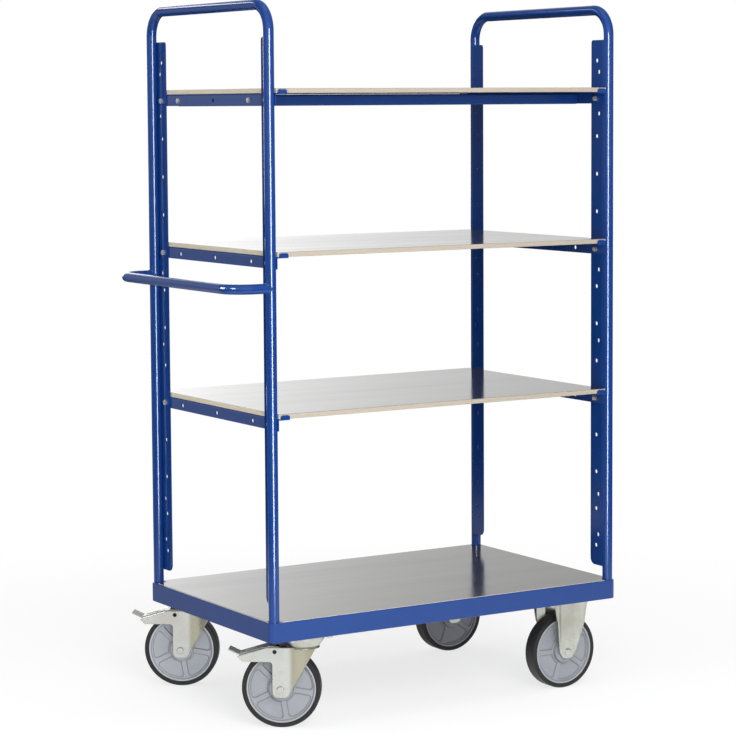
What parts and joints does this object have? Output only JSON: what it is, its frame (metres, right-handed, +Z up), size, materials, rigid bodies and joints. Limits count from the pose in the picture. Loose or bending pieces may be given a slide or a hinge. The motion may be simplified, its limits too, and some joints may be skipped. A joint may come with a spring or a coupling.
{
  "type": "shelf trolley",
  "caption": "Tube-framed shelf trolley with bolted, height-adjustable boards between perforated uprights, a push handle, fixed castors at one end and braked swivel castors at the other.",
  "frame": {"origin": "on the floor under the middle of the whole trolley's box", "axes": "+Z up, -X towards the push handle, -Y towards the front long side"},
  "size_m": [1.165, 0.7336, 1.8214],
  "materials": {
    "blue_paint": "smooth glossy powder coat",
    "deck_film": "glossy dark brown film on plywood",
    "shelf_film": "glossy dark brown film, light sawn edges",
    "zinc_fasteners": "bright zinc",
    "castor_zinc": "pale passivated zinc",
    "wheel_core": "moulded grey plastic",
    "tyre": "smooth black solid rubber",
    "bearing": "plain cage",
    "pedal_zinc": "bright zinc",
    "brake_rubber": "matt"
  },
  "bodies": {
    "frame": {"deck_frame": "blue_paint", "handle_end_castor_carrier": "blue_paint", "far_end_castor_carrier": "blue_paint", "deck_crossbeam": "blue_paint", "push_handle": "blue_paint", "handle_end_frame": "blue_paint", "far_end_frame": "blue_paint", "handle_front_strip": "blue_paint", "handle_rear_strip": "blue_paint", "far_front_strip": "blue_paint", "far_rear_strip": "blue_paint", "top_handle_bracket": "blue_paint", "top_far_bracket": "blue_paint", "middle_handle_bracket": "blue_paint", "middle_far_bracket": "blue_paint", "lower_handle_bracket": "blue_paint", "lower_far_bracket": "blue_paint", "front_top_rail": "blue_paint", "rear_top_rail": "blue_paint", "deck_board": "deck_film", "top_shelf": "shelf_film", "middle_shelf": "shelf_film", "lower_shelf": "shelf_film", "shelf_bolts": "zinc_fasteners", "shelf_nuts": "zinc_fasteners", "rail_bolts": "zinc_fasteners", "castor_bolts": "zinc_fasteners", "castor_nuts": "zinc_fasteners", "fixed_axles": "zinc_fasteners", "front_king_pin": "zinc_fasteners", "front_swivel_balls": "zinc_fasteners", "rear_king_pin": "zinc_fasteners", "rear_swivel_balls": "zinc_fasteners", "front_swivel_plate": "castor_zinc", "front_fixed_fork": "castor_zinc", "rear_swivel_plate": "castor_zinc", "rear_fixed_fork": "castor_zinc"},
    "front_swivel": {"front_swivel_fork": "castor_zinc", "front_swivel_axle": "zinc_fasteners", "front_pedal_pivots": "zinc_fasteners"},
    "front_swivel_wheel": {"front_swivel_core": "wheel_core", "front_swivel_tyre": "tyre", "front_swivel_bearing": "bearing"},
    "front_pedal": {"front_brake_pedal": "pedal_zinc", "front_brake_shoe": "brake_rubber"},
    "front_fixed_wheel": {"front_fixed_core": "wheel_core", "front_fixed_tyre": "tyre", "front_fixed_bearing": "bearing"},
    "rear_swivel": {"rear_swivel_fork": "castor_zinc", "rear_swivel_axle": "zinc_fasteners", "rear_pedal_pivots": "zinc_fasteners"},
    "rear_swivel_wheel": {"rear_swivel_core": "wheel_core", "rear_swivel_tyre": "tyre", "rear_swivel_bearing": "bearing"},
    "rear_pedal": {"rear_brake_pedal": "pedal_zinc", "rear_brake_shoe": "brake_rubber"},
    "rear_fixed_wheel": {"rear_fixed_core": "wheel_core", "rear_fixed_tyre": "tyre", "rear_fixed_bearing": "bearing"}
  },
  "joints": [
    {"name": "front_swivel_turn", "type": "hinge", "parent": "frame", "child": "front_swivel", "pos_m": [-0.3575, -0.30726, 0.215], "axis": [0, 0, 1], "continuous": true},
    {"name": "front_swivel_wheel_spin", "type": "hinge", "parent": "front_swivel", "child": "front_swivel_wheel", "pos_m": [-0.402, -0.27493, 0.1], "axis": [-0.5878, -0.809, 0], "continuous": true},
    {"name": "front_pedal_press", "type": "hinge", "parent": "front_swivel", "child": "front_pedal", "pos_m": [-0.41332, -0.2667, 0.197], "axis": [-0.5878, -0.809, 0], "range_deg": [0, 7]},
    {"name": "front_fixed_wheel_spin", "type": "hinge", "parent": "frame", "child": "front_fixed_wheel", "pos_m": [0.438, -0.30726, 0.1], "axis": [0, 1, 0], "continuous": true},
    {"name": "rear_swivel_turn", "type": "hinge", "parent": "frame", "child": "rear_swivel", "pos_m": [-0.3575, 0.23874, 0.215], "axis": [0, 0, 1], "continuous": true},
    {"name": "rear_swivel_wheel_spin", "type": "hinge", "parent": "rear_swivel", "child": "rear_swivel_wheel", "pos_m": [-0.402, 0.27107, 0.1], "axis": [-0.5878, -0.809, 0], "continuous": true},
    {"name": "rear_pedal_press", "type": "hinge", "parent": "rear_swivel", "child": "rear_pedal", "pos_m": [-0.41332, 0.2793, 0.197], "axis": [-0.5878, -0.809, 0], "range_deg": [0, 7]},
    {"name": "rear_fixed_wheel_spin", "type": "hinge", "parent": "frame", "child": "rear_fixed_wheel", "pos_m": [0.438, 0.23874, 0.1], "axis": [0, 1, 0], "continuous": true}
  ]
}
